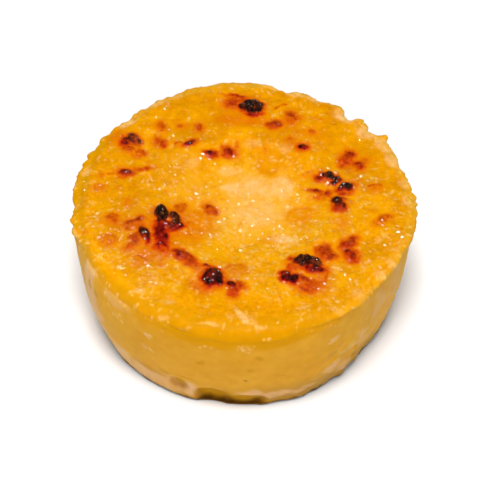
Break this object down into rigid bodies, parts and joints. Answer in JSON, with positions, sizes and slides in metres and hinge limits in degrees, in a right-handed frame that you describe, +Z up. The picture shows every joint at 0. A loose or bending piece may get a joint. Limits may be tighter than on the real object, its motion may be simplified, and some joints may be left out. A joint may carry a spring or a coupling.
{
  "type": "queijada custard cake",
  "caption": "Round baked custard cake with a tapered smooth side, a sharp uneven lip and a blistered, scorched glossy top.",
  "frame": {"origin": "centre of the bounding box at the bottom, on the surface that the cake stands on", "axes": "+Z up, the front with the two foot hollows faces -Y, +X to the right of someone who looks at the front"},
  "size_m": [0.0708, 0.071, 0.0298],
  "materials": {
    "baked_custard": "glossy amber custard skin with brown to black scorched blisters, satin translucent yellow side"
  },
  "bodies": {
    "root": {"queijada": "baked_custard"}
  },
  "joints": []
}
